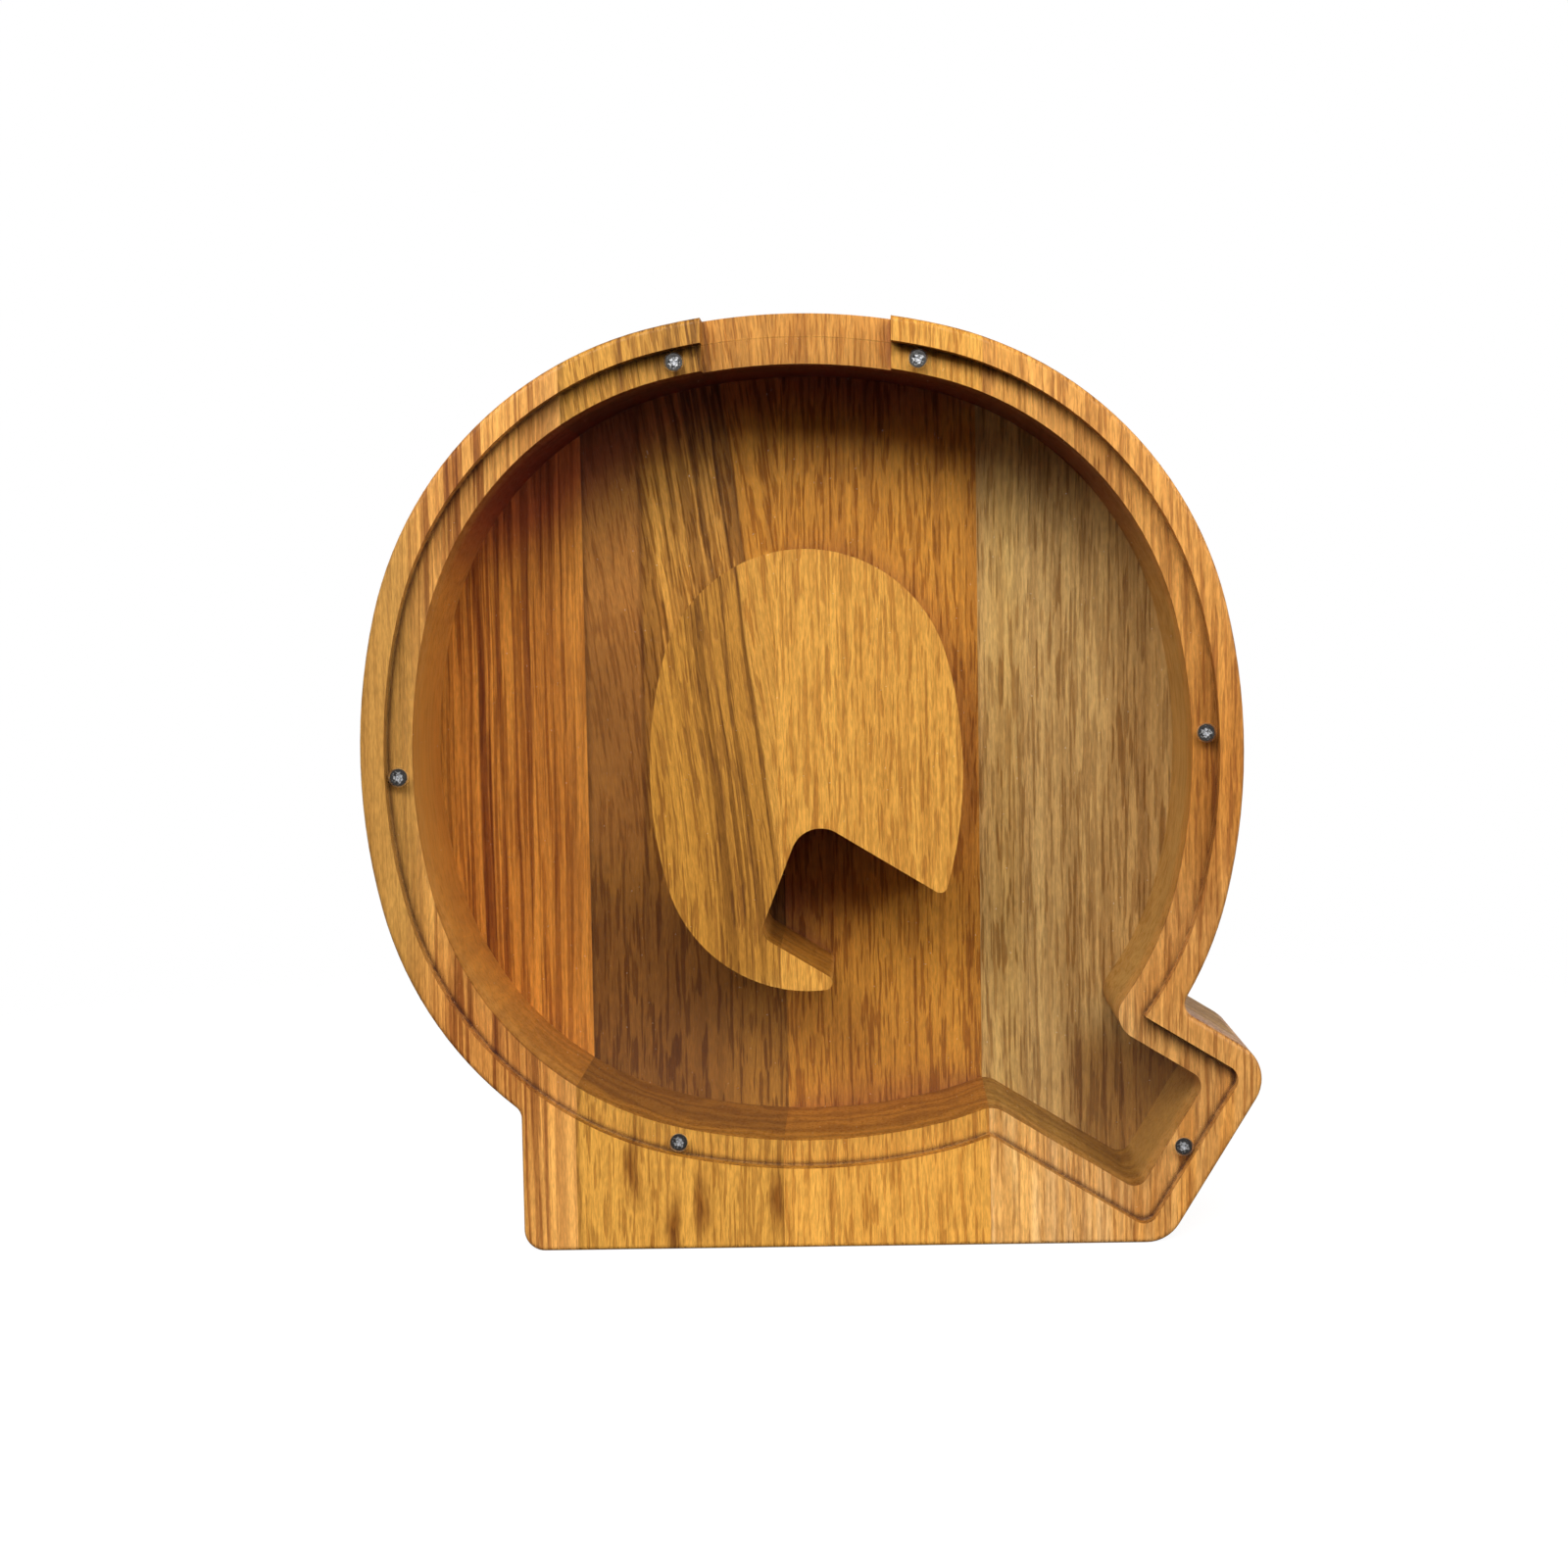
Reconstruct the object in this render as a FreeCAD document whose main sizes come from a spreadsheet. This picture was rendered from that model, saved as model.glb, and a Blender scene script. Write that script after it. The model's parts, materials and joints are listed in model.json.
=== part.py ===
import FreeCAD, Part
import math
import os

import Sketcher

# Every size of the money box, in millimetres and degrees: name, value, meaning.
SIZES = [
    ("letter_span", 177.4, "bowl of the letter across the window's rebate, both ways"),
    ("corner_offset", 12.5, "from the bowl's centre lines to the centres of its corner arcs"),
    ("side_bulge", 1.5, "how far the bowl's side arcs stand out past its corner arcs"),
    ("tail_angle", 31.5, "fall of the letter's tail below the horizontal"),
    ("tail_drop", 10.4, "from the bowl's centre to the tail's upper edge, across the tail"),
    ("tail_width", 39.1, "tail across the window's rebate"),
    ("tail_length", 27.5, "tail's end past the bowl's span, along the tail"),
    ("tail_round", 3.2, "tail's two end corners at the rebate"),
    ("rim_width", 5.2, "wood left around the window"),
    ("ledge_width", 5.5, "ledge that the window rests on"),
    ("rebate_depth", 4.0, "from the front face to the ledge and the island's top"),
    ("case_depth", 45.0, "front face to back face"),
    ("back_thickness", 7.0, "wood left behind the pocket"),
    ("cutter_radius", 3.2, "rounding that the milling cutter leaves in inside corners"),
    ("edge_round", 1.2, "sanded outer edges at the front"),
    ("back_chamfer", 0.8, "broken outer edges at the back"),
    ("foot_height", 17.4, "from the bowl's span down to the underside"),
    ("base_left", 61.6, "from the bowl's centre to the base's left side"),
    ("base_round", 4.5, "base's lower left corner"),
    ("island_width", 66.8, "oval island in the pocket"),
    ("island_height", 94.6, "oval island in the pocket"),
    ("island_bulge", 2.2, "how far the island's sides stand out past its end arcs"),
    ("island_shift", 0.8, "island's centre right of the bowl's centre"),
    ("island_drop", 3.3, "island's centre below the bowl's centre"),
    ("notch_start", 6.8, "from the bowl's centre along the tail to the island's notch"),
    ("notch_width", 27.5, "notch across the tail"),
    ("notch_lean", 10.0, "lean of the notch's inner end"),
    ("notch_round", 6.5, "notch's upper inside corner"),
    ("lobe_round", 1.6, "tips of the island beside the notch"),
    ("slot_width", 40.0, "coin slot along the top"),
    ("coin_gap", 4.5, "coin slot from the ledge back"),
    ("left_joint", 49.9, "first glue line left of the bowl's centre"),
    ("stave_width", 44.5, "width of the two middle staves"),
    ("window_thickness", 3.0, "clear sheet"),
    ("window_gap", 0.4, "clear sheet's edge to the rebate's wall"),
    ("slot_screw_gap", 5.6, "screws beside the coin slot, from the slot's side"),
    ("right_screw_z", 4.0, "right screw above the bowl's centre"),
    ("left_screw_z", 3.2, "left screw below the bowl's centre"),
    ("bottom_screw_x", 27.9, "bottom screw left of the bowl's centre"),
    ("tail_screw_y", 20.0, "tail screw below the tail's upper edge, across the tail"),
    ("screw_diameter", 2.0, "shank of a screw"),
    ("screw_length", 10.0, "whole screw"),
    ("tip_length", 2.0, "screw's point"),
    ("head_diameter", 3.8, "countersunk head"),
    ("sink_margin", 0.2, "countersink in the clear sheet past the head, all round"),
    ("screw_clearance", 0.08, "round a screw in its hole and under its head"),
    ("pilot_spare", 0.5, "pilot hole deeper than the screw's point"),
    ("recess_length", 2.2, "cross recess, tip to tip"),
    ("recess_width", 0.6, "cross recess, each arm"),
    ("recess_depth", 0.7, "cross recess"),
]
COUNTERSINK_ANGLE = 90
CROSS_ANGLE = 90
CROSS_ARMS = 2
TURN_BETWEEN_SCREWS = 25

# Arcs of the bowl, worked out from the sizes: half its span, and the radii of its corners and sides.
HALF = "(sizes.letter_span / 2)"
CORNER = f"({HALF} - sizes.corner_offset - sizes.side_bulge)"
SIDE = f"({CORNER} + sizes.side_bulge / 2 + sizes.corner_offset ^ 2 / (2 * sizes.side_bulge))"
SIDE_CENTRE = f"({SIDE} - {HALF})"

# From the bowl's centre to the tail's end, and down to the underside.
REACH = f"({HALF} + sizes.tail_length)"
DROP = f"({HALF} + sizes.foot_height)"

# Depths that several pieces share: to the window's front, to the pocket's floor, and from ledge to floor.
WINDOW_FRONT = "(sizes.rebate_depth - sizes.window_thickness)"
FLOOR = "(sizes.case_depth - sizes.back_thickness)"
WELL = f"({FLOOR} - sizes.rebate_depth)"
HEAD_SINK = "(sizes.sink_margin - sizes.screw_clearance)"


def on_tail(along, across):
    """Coordinates about the bowl's centre of a place along the tail and down across it."""
    cos, sin = "cos(sizes.tail_angle)", "sin(sizes.tail_angle)"
    return f"({along} * {cos} - {across} * {sin})", f"(-{along} * {sin} - {across} * {cos})"


# The outside of the tail runs on to the underside, and the whole is centred between the bowl and the tail.
OUTER_REACH = f"({REACH} + sizes.rim_width)"
OUTER_DROP = "(sizes.tail_drop - sizes.rim_width)"
UNDERSIDE_ACROSS = f"(({DROP} - {OUTER_REACH} * sin(sizes.tail_angle)) / cos(sizes.tail_angle))"
CORNER_X, _ = on_tail(f"({REACH} - sizes.tail_round)", "(sizes.tail_drop + sizes.tail_round)")
BOWL_SHIFT = f"((max({CORNER_X} + sizes.tail_round; {HALF}) - {HALF}) / 2)"

# The middle of the ledge, where the screws stand.
LEDGE_RADIUS = f"({SIDE} - sizes.ledge_width / 2)"
LEDGE_REACH = f"({REACH} - sizes.ledge_width / 2)"


def ledge_side(along):
    """Distance from the bowl's centre to the middle of the ledge, at a place along that side."""
    return f"(sqrt({LEDGE_RADIUS} ^ 2 - {along} ^ 2) - {SIDE_CENTRE})"


TOP_SCREW = "(sizes.slot_width / 2 + sizes.slot_screw_gap)"
SCREWS = {
    "screw_top_left": (f"-{TOP_SCREW}", ledge_side(TOP_SCREW)),
    "screw_top_right": (TOP_SCREW, ledge_side(TOP_SCREW)),
    "screw_right": (ledge_side("sizes.right_screw_z"), "sizes.right_screw_z"),
    "screw_tail": on_tail(LEDGE_REACH, "(sizes.tail_drop + sizes.tail_screw_y)"),
    "screw_bottom": ("-sizes.bottom_screw_x", "-" + ledge_side("sizes.bottom_screw_x")),
    "screw_left": ("-" + ledge_side("sizes.left_screw_z"), "-sizes.left_screw_z"),
}

# Places in a sketch: the points of a line or an arc, the sketch's axes, and its origin.
START, END, CENTRE = range(1, 4)
X_AXIS, Z_AXIS = range(-1, -3, -1)
ORIGIN = (X_AXIS, START)

# For finding edges: how close counts as equal, how far walls may turn at a smooth edge, and a step aside.
TOLERANCE = 1e-4
SMOOTH = 0.1
PROBE = 0.3

doc = FreeCAD.newDocument("money_box")
sheet = doc.addObject("Spreadsheet::Sheet", "sizes")
for row, (alias, value, meaning) in enumerate(SIZES, start=1):
    sheet.set(f"A{row}", alias)
    sheet.set(f"B{row}", str(value))
    sheet.setAlias(f"B{row}", alias)
    sheet.set(f"C{row}", meaning)
doc.recompute()


def measure(expression):
    return float(sheet.evalExpression(expression))


def add_body(name):
    body = doc.addObject("PartDesign::Body", name)
    body.Label = name
    return body


def origin_plane(body, role):
    return next(plane for plane in body.Origin.OriginFeatures if plane.Role == role)


def front_sketch(body, name, depth="0", along_tail=False):
    """Sketch facing the front, about the bowl's centre, at a depth behind the case's front face."""
    sketch = body.newObject("Sketcher::SketchObject", name)
    sketch.AttachmentSupport = [(origin_plane(body, "XZ_Plane"), "")]
    sketch.MapMode = "FlatFace"
    if along_tail:
        turn = FreeCAD.Rotation(FreeCAD.Vector(0, 0, -1), measure("sizes.tail_angle"))
        sketch.AttachmentOffset = FreeCAD.Placement(FreeCAD.Vector(), turn)
        sketch.setExpression("AttachmentOffset.Rotation.Angle", "sizes.tail_angle")
    sketch.setExpression("AttachmentOffset.Base.x", f"-{BOWL_SHIFT}")
    sketch.setExpression("AttachmentOffset.Base.y", DROP)
    sketch.setExpression("AttachmentOffset.Base.z", f"sizes.case_depth / 2 - {depth}")
    return sketch


def bind(sketch, name, expression, kind, *places):
    """Dimension that follows an expression."""
    index = sketch.addConstraint(Sketcher.Constraint(kind, *places, measure(expression)))
    sketch.renameConstraint(index, name)
    sketch.setExpression(f"Constraints.{name}", expression)


def coordinate(sketch, name, kind, geometry, point, expression):
    """Coordinate of a sketch's point about the sketch's origin, on either side of it."""
    if measure(expression) < 0:
        bind(sketch, name, f"-({expression})", kind, geometry, point, *ORIGIN)
    else:
        bind(sketch, name, expression, kind, *ORIGIN, geometry, point)


def place(sketch, name, geometry, point, x, z):
    coordinate(sketch, f"{name}_x", "DistanceX", geometry, point, x)
    coordinate(sketch, f"{name}_z", "DistanceY", geometry, point, z)


def line(start, end):
    return Part.LineSegment(FreeCAD.Vector(*start), FreeCAD.Vector(*end))


def arc(x, z, radius, start, end):
    circle = Part.Circle(FreeCAD.Vector(x, z), FreeCAD.Vector(0, 0, 1), radius)
    return Part.ArcOfCircle(circle, start, end)


def chain(sketch, kinds):
    """Join the ends of successive pieces of geometry into a loop, by corners or tangents."""
    for index, kind in enumerate(kinds):
        following = (index + 1) % len(kinds)
        sketch.addConstraint(Sketcher.Constraint(kind, index, END, following, START))


def polygon(sketch, points):
    """Closed loop of straight lines."""
    for start, end in zip(points, points[1:] + points[:1]):
        sketch.addGeometry(line(start, end))
    chain(sketch, ["Coincident"] * len(points))


def level(sketch, horizontal, vertical):
    for index in horizontal:
        sketch.addConstraint(Sketcher.Constraint("Horizontal", index))
    for index in vertical:
        sketch.addConstraint(Sketcher.Constraint("Vertical", index))


def box_sketch(body, name, x0, x1, z0, z1):
    """Upright rectangle between two coordinates each way."""
    sketch = front_sketch(body, name)
    left, right, low, high = (measure(edge) for edge in (x0, x1, z0, z1))
    polygon(sketch, [(left, low), (right, low), (right, high), (left, high)])
    level(sketch, (0, 2), (1, 3))
    place(sketch, "low_left", 0, START, x0, z0)
    place(sketch, "high_right", 2, START, x1, z1)
    return sketch


def bowl_sketch(body, name, grow, depth="0"):
    """Bowl of the letter, grown all round: a side arc and a corner arc in each quarter, all tangent."""
    sketch = front_sketch(body, name, depth)
    side_radius = f"{SIDE} + {grow}"
    corner_radius = f"{CORNER} + {grow}"
    back = measure(SIDE_CENTRE)
    offset = measure("sizes.corner_offset")
    swing = math.atan2(offset, offset + back)
    right, top, left, bottom = sides = (0, 2, 4, 6)
    for quarter in range(len(sides)):
        turn = quarter * math.pi / 2
        cos, sin = math.cos(turn), math.sin(turn)
        sketch.addGeometry(arc(-back * cos, -back * sin, measure(side_radius), turn - swing, turn + swing))
        x, z = offset * (cos - sin), offset * (cos + sin)
        sketch.addGeometry(arc(x, z, measure(corner_radius), turn + swing, turn + math.pi / 2 - swing))
    chain(sketch, ["Tangent"] * sketch.GeometryCount)
    for index in sides[1:]:
        sketch.addConstraint(Sketcher.Constraint("Equal", right, index))
        sketch.addConstraint(Sketcher.Constraint("Equal", right + 1, index + 1))
    bind(sketch, "side_radius", side_radius, "Radius", right)
    bind(sketch, "corner_radius", corner_radius, "Radius", right + 1)
    for index, axis in ((right, X_AXIS), (left, X_AXIS), (top, Z_AXIS), (bottom, Z_AXIS)):
        sketch.addConstraint(Sketcher.Constraint("PointOnObject", index, CENTRE, axis))
    bind(sketch, "right_centre", SIDE_CENTRE, "DistanceX", right, CENTRE, *ORIGIN)
    bind(sketch, "left_centre", SIDE_CENTRE, "DistanceX", *ORIGIN, left, CENTRE)
    bind(sketch, "top_centre", SIDE_CENTRE, "DistanceY", top, CENTRE, *ORIGIN)
    bind(sketch, "bottom_centre", SIDE_CENTRE, "DistanceY", *ORIGIN, bottom, CENTRE)
    return sketch


def tail_sketch(body, name, grow, corner, depth="0"):
    """Tail of the letter, grown all round: a bar from under the bowl's centre, with two rounded corners."""
    sketch = front_sketch(body, name, depth, along_tail=True)
    reach = f"{REACH} + {grow}"
    drop = f"sizes.tail_drop - {grow}"
    width = f"sizes.tail_width + 2 * {grow}"
    end, top, radius = measure(reach), -measure(drop), measure(corner)
    low = top - measure(width)
    quarter = math.pi / 2
    lower, low_corner, tip, top_corner, upper, root = range(6)
    sketch.addGeometry(line((0, low), (end - radius, low)))
    sketch.addGeometry(arc(end - radius, low + radius, radius, -quarter, 0))
    sketch.addGeometry(line((end, low + radius), (end, top - radius)))
    sketch.addGeometry(arc(end - radius, top - radius, radius, 0, quarter))
    sketch.addGeometry(line((end - radius, top), (0, top)))
    sketch.addGeometry(line((0, top), (0, low)))
    chain(sketch, ["Tangent"] * 4 + ["Coincident"] * 2)
    level(sketch, (lower, upper), (tip, root))
    sketch.addConstraint(Sketcher.Constraint("PointOnObject", root, START, Z_AXIS))
    sketch.addConstraint(Sketcher.Constraint("Equal", low_corner, top_corner))
    bind(sketch, "corner", corner, "Radius", low_corner)
    bind(sketch, "reach", reach, "DistanceX", *ORIGIN, tip, START)
    bind(sketch, "width", width, "DistanceY", root, END, root, START)
    coordinate(sketch, "drop", "DistanceY", root, START, f"-({drop})")
    return sketch


def feature(body, kind, name, profile, length, reverse=False):
    """Pad or pocket of a sketch; it has to add or take away material."""
    before = body.Shape.Volume if body.Tip else 0
    step = body.newObject(f"PartDesign::{kind}", name)
    step.Profile = profile
    step.Reversed = reverse
    step.setExpression("Length", length)
    doc.recompute()
    change = body.Shape.Volume - before
    if (change > 0) != (kind == "Pad") or abs(change) < TOLERANCE:
        raise RuntimeError(f"{body.Label}: {name} does nothing")
    return step


def corners(shape, length, inner):
    """Sharp inner or outer corner edges of a given length through the depth, the rightmost first."""
    found = []
    for number, edge in enumerate(shape.Edges, start=1):
        box = edge.BoundBox
        if max(abs(box.YLength - length), box.XLength, box.ZLength) > TOLERANCE:
            continue
        middle = edge.CenterOfMass
        walls = shape.ancestorsOfType(edge, Part.Face)
        first, second = (wall.normalAt(*wall.Surface.parameter(middle)) for wall in walls)
        turn = first - second
        if turn.Length > SMOOTH and shape.isInside(middle + turn * PROBE, TOLERANCE, False) == inner:
            found.append((box.XMax, f"Edge{number}"))
    return [name for x, name in sorted(found, reverse=True)]


def outline_edges(shape, y):
    """Edges that lie in one upright plane."""
    return [
        f"Edge{number}"
        for number, edge in enumerate(shape.Edges, start=1)
        if edge.BoundBox.YLength < TOLERANCE and abs(edge.BoundBox.YMin - y) < TOLERANCE
    ]


def ease(body, kind, name, edges, size):
    """Fillet or chamfer on some edges of a body."""
    last = body.Tip
    step = body.newObject(f"PartDesign::{kind}", name)
    step.Base = (last, edges)
    step.setExpression("Radius" if kind == "Fillet" else "Size", size)
    doc.recompute()


def screw_holes(body, name, depth):
    """Circle at each screw's place."""
    sketch = front_sketch(body, name, depth)
    for index, (screw, (x, z)) in enumerate(SCREWS.items()):
        centre = FreeCAD.Vector(measure(x), measure(z))
        circle = Part.Circle(centre, FreeCAD.Vector(0, 0, 1), measure("sizes.screw_diameter / 2"))
        sketch.addGeometry(circle)
        place(sketch, screw, index, CENTRE, x, z)
        if index:
            sketch.addConstraint(Sketcher.Constraint("Equal", 0, index))
    bind(sketch, "diameter", "sizes.screw_diameter", "Diameter", 0)
    doc.recompute()
    hole = body.newObject("PartDesign::Hole", name.replace("places", "holes"))
    hole.Profile = sketch
    hole.ThreadType = "None"
    hole.DrillPoint = "Flat"
    hole.setExpression("Diameter", "sizes.screw_diameter + 2 * sizes.screw_clearance")
    return hole


def foot_sketch(body):
    """Outside of the tail and the base in one: from the bowl, round the base and up the tail's end."""
    sketch = front_sketch(body, "foot_outline")
    places = {
        "base_top": ("-sizes.base_left", "0"),
        "base_left": ("-sizes.base_left", f"-{DROP}"),
        "base_right": on_tail(OUTER_REACH, UNDERSIDE_ACROSS),
        "tail_end": on_tail(OUTER_REACH, OUTER_DROP),
        "tail_root": on_tail("0", OUTER_DROP),
    }
    polygon(sketch, [(measure(x), measure(z)) for x, z in places.values()])
    for index, (name, (x, z)) in enumerate(places.items()):
        place(sketch, name, index, START, x, z)
    return sketch


def make_outside(body):
    """Outer walls of the case: bowl, tail and base, with cutter-rounded inner corners and eased edges."""
    depth = "sizes.case_depth"
    rim = "sizes.rim_width"
    feature(body, "Pad", "bowl_wall", bowl_sketch(body, "bowl_outline", rim), depth, reverse=True)
    feature(body, "Pad", "tail_and_base", foot_sketch(body), depth, reverse=True)
    length = measure(depth)
    ease(body, "Fillet", "inner_corners", corners(body.Shape, length, inner=True), "sizes.cutter_radius")
    tail_end = corners(body.Shape, length, inner=False)[:2]
    ease(body, "Fillet", "tail_corners", tail_end, f"sizes.tail_round + {rim}")
    base_corner = corners(body.Shape, length, inner=False)
    ease(body, "Fillet", "base_corner", base_corner, "sizes.base_round")
    ease(body, "Fillet", "sanded_edges", outline_edges(body.Shape, -length / 2), "sizes.edge_round")
    ease(body, "Chamfer", "back_edges", outline_edges(body.Shape, length / 2), "sizes.back_chamfer")


def make_pocket(body):
    """Rebate for the window, and the deep pocket inside it, which leaves a ledge all round."""
    rebate = "sizes.rebate_depth"
    feature(body, "Pocket", "bowl_rebate", bowl_sketch(body, "bowl_letter", "0"), rebate)
    tail = tail_sketch(body, "tail_letter", "0", "sizes.tail_round")
    feature(body, "Pocket", "tail_rebate", tail, rebate)
    inward = "-sizes.ledge_width"
    bowl = bowl_sketch(body, "bowl_lip", inward, rebate)
    feature(body, "Pocket", "bowl_pocket", bowl, WELL)
    tail = tail_sketch(body, "tail_lip", inward, "sizes.cutter_radius", rebate)
    feature(body, "Pocket", "tail_pocket", tail, WELL)
    lip_corners = corners(body.Shape, measure(WELL), inner=False)
    ease(body, "Fillet", "lip_corners", lip_corners, "sizes.ledge_width")


def island_sketch(body):
    """Oval of two side arcs and two end arcs."""
    sketch = front_sketch(body, "island_outline", FLOOR)
    half_width, half_height = "sizes.island_width / 2", "sizes.island_height / 2"
    end_radius = f"({half_width} - sizes.island_bulge)"
    spread = f"({half_height} - {end_radius})"
    side_back = f"(({spread} ^ 2 / sizes.island_bulge - sizes.island_bulge) / 2)"
    side_radius = f"({half_width} + {side_back})"
    x, z = measure("sizes.island_shift"), -measure("sizes.island_drop")
    back, rise = measure(side_back), measure(spread)
    swing = math.atan2(rise, back)
    right, top, left, bottom = range(4)
    sketch.addGeometry(arc(x - back, z, measure(side_radius), -swing, swing))
    sketch.addGeometry(arc(x, z + rise, measure(end_radius), swing, math.pi - swing))
    sketch.addGeometry(arc(x + back, z, measure(side_radius), math.pi - swing, math.pi + swing))
    sketch.addGeometry(arc(x, z - rise, measure(end_radius), math.pi + swing, 2 * math.pi - swing))
    chain(sketch, ["Tangent"] * sketch.GeometryCount)
    bind(sketch, "side_radius", side_radius, "Radius", right)
    sketch.addConstraint(Sketcher.Constraint("Equal", right, left))
    sketch.addConstraint(Sketcher.Constraint("Equal", top, bottom))
    place(sketch, "top", top, CENTRE, "sizes.island_shift", f"{spread} - sizes.island_drop")
    place(sketch, "bottom", bottom, CENTRE, "sizes.island_shift", f"-{spread} - sizes.island_drop")
    bind(sketch, "end_radius", end_radius, "Radius", top)
    return sketch


def notch_sketch(body):
    """Notch where the tail runs into the island: open towards the tail, with a leaning inner end."""
    sketch = front_sketch(body, "notch_outline", "sizes.rebate_depth", along_tail=True)
    run = "sizes.island_width"
    start, end = measure("sizes.notch_start"), measure(run)
    top, width = -measure("sizes.tail_drop"), measure("sizes.notch_width")
    lean = width * math.tan(math.radians(measure("sizes.notch_lean")))
    polygon(sketch, [(start, top), (start + lean, top - width), (end, top - width), (end, top)])
    level(sketch, (1, 3), (2,))
    place(sketch, "start", 0, START, "sizes.notch_start", "-sizes.tail_drop")
    bind(sketch, "width", "sizes.notch_width", "DistanceY", 0, END, 0, START)
    bind(sketch, "lean", "sizes.notch_width * tan(sizes.notch_lean)", "DistanceX", 0, START, 0, END)
    bind(sketch, "run", run, "DistanceX", *ORIGIN, 2, START)
    return sketch


def make_island(body):
    """Island on the pocket's floor, level with the ledge, and the notch that the tail cuts into it."""
    feature(body, "Pad", "island", island_sketch(body), WELL)
    feature(body, "Pocket", "island_notch", notch_sketch(body), WELL)
    height = measure(WELL)
    ease(body, "Fillet", "notch_top", corners(body.Shape, height, inner=True)[:1], "sizes.notch_round")
    ease(body, "Fillet", "notch_foot", corners(body.Shape, height, inner=True), "sizes.cutter_radius")
    ease(body, "Fillet", "island_tips", corners(body.Shape, height, inner=False), "sizes.lobe_round")


def make_slot(body):
    """Coin slot: the front of the top wall is cut away, and the window closes its lower front."""
    reach = "sizes.slot_width / 2"
    low = f"{HALF} - sizes.ledge_width - {reach}"
    high = f"{HALF} + sizes.rim_width + {reach}"
    outline = box_sketch(body, "slot_outline", f"-{reach}", reach, low, high)
    feature(body, "Pocket", "coin_slot", outline, "sizes.rebate_depth + sizes.coin_gap")


def make_case():
    """Glued block, milled as one."""
    body = add_body("case_block")
    make_outside(body)
    make_pocket(body)
    make_island(body)
    make_slot(body)
    pilot = screw_holes(body, "pilot_places", "sizes.rebate_depth")
    pilot.DepthType = "Dimension"
    in_wood = f"sizes.screw_length - sizes.window_thickness + {HEAD_SINK}"
    pilot.setExpression("Depth", f"{in_wood} + sizes.pilot_spare")
    doc.recompute()
    return body


def make_staves(block):
    """Four upright boards that the block is glued up from, each cut from it between two glue lines."""
    first = f"-{BOWL_SHIFT} - sizes.left_joint"
    outer = "sizes.letter_span"
    spare = "sizes.edge_round"
    boards = {
        "stave_left": (f"{first} - {outer}", outer),
        "stave_mid_left": (first, "sizes.stave_width"),
        "stave_mid_right": (f"{first} + sizes.stave_width", "sizes.stave_width"),
        "stave_right": (f"{first} + 2 * sizes.stave_width", outer),
    }
    staves = []
    for name, (start, width) in boards.items():
        board = doc.addObject("Part::Box", f"{name}_board")
        board.setExpression("Length", width)
        board.setExpression("Width", f"sizes.case_depth + 2 * {spare}")
        board.setExpression("Height", f"{DROP} + {HALF} + sizes.rim_width + 2 * {spare}")
        board.setExpression("Placement.Base.x", start)
        board.setExpression("Placement.Base.y", f"-sizes.case_depth / 2 - {spare}")
        board.setExpression("Placement.Base.z", f"-{spare}")
        stave = doc.addObject("Part::Common", name)
        stave.Label = name
        stave.Base = block
        stave.Tool = board
        staves.append(stave)
    doc.recompute()
    return staves


def make_window():
    """Clear sheet in the shape of the letter, with a countersunk hole for each screw."""
    body = add_body("front_window")
    inward = "-sizes.window_gap"
    thickness = "sizes.window_thickness"
    bowl = bowl_sketch(body, "window_bowl", inward, WINDOW_FRONT)
    feature(body, "Pad", "bowl_sheet", bowl, thickness, reverse=True)
    tail = tail_sketch(body, "window_tail", inward, "sizes.tail_round - sizes.window_gap", WINDOW_FRONT)
    feature(body, "Pad", "tail_sheet", tail, thickness, reverse=True)
    holes = screw_holes(body, "screw_places", WINDOW_FRONT)
    holes.DepthType = "ThroughAll"
    holes.HoleCutType = "Countersink"
    holes.HoleCutCountersinkAngle = COUNTERSINK_ANGLE
    holes.setExpression("HoleCutDiameter", "sizes.head_diameter + 2 * sizes.sink_margin")
    doc.recompute()
    return body


def screw_profile(body):
    """Half section of a screw about its axis, from the head's face to the point."""
    sketch = body.newObject("Sketcher::SketchObject", f"{body.Name}_profile")
    sketch.AttachmentSupport = [(origin_plane(body, "XY_Plane"), "")]
    sketch.MapMode = "FlatFace"
    head, shank = measure("sizes.head_diameter / 2"), measure("sizes.screw_diameter / 2")
    length = measure("sizes.screw_length")
    neck, tip = head - shank, length - measure("sizes.tip_length")
    polygon(sketch, [(0, 0), (head, 0), (shank, neck), (shank, tip), (0, length)])
    face, cone, side, point, axis = range(5)
    level(sketch, (face,), (side, axis))
    sketch.addConstraint(Sketcher.Constraint("Coincident", face, START, *ORIGIN))
    taper = "(sizes.head_diameter - sizes.screw_diameter) / 2"
    bind(sketch, "head", "sizes.head_diameter / 2", "DistanceX", *ORIGIN, cone, START)
    bind(sketch, "shank", "sizes.screw_diameter / 2", "DistanceX", *ORIGIN, side, START)
    bind(sketch, "cone", taper, "DistanceY", cone, START, cone, END)
    bind(sketch, "tip", "sizes.tip_length", "DistanceY", point, START, point, END)
    bind(sketch, "length", "sizes.screw_length", "DistanceY", *ORIGIN, axis, START)
    return sketch


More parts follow.
